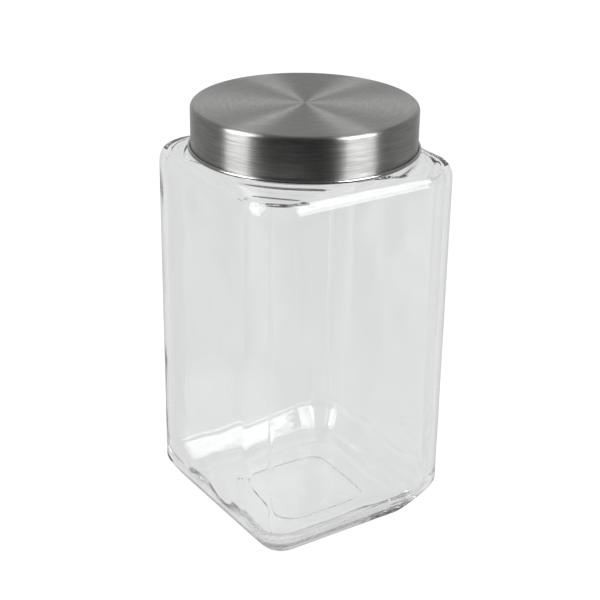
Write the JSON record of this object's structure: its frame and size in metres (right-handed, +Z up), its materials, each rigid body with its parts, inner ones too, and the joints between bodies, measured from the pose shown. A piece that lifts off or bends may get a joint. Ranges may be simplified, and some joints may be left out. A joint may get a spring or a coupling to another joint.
{
  "type": "square glass storage jar with screw lid",
  "caption": "Tall square glass jar with round corners, a flared foot and a round threaded neck, closed by a brushed steel screw lid with a rolled edge.",
  "frame": {"origin": "centre of the foot, at the height of the surface that the jar stands on", "axes": "+Z up along the neck's axis; the four flat walls face +X, -X, +Y and -Y"},
  "size_m": [0.1148, 0.1148, 0.2182],
  "materials": {
    "glass": "clear, smooth moulded glass",
    "brushed_steel": "circular brushing on the top, level brushing round the side, polished rolled edge",
    "white_plastic": "satin moulded polypropylene",
    "foam": "closed-cell polyethylene foam"
  },
  "bodies": {
    "jar": {"glass_jar": "glass"},
    "seal": {"seal_liner": "foam"},
    "lid": {"lid_shell": "brushed_steel", "lid_thread_insert": "white_plastic"}
  },
  "joints": [
    {"name": "lid_rise", "type": "slide", "parent": "jar", "child": "seal", "axis": [0, 0, 1], "range_m": [0, 0.024]},
    {"name": "lid_turn", "type": "hinge", "parent": "seal", "child": "lid", "pos_m": [0, 0, 0.2], "axis": [0, 0, 1], "range_deg": [0, 540]}
  ],
  "couplings": [
    {"joint": "lid_rise", "follows": "lid_turn", "m_per_rad": 0.0025465}
  ]
}
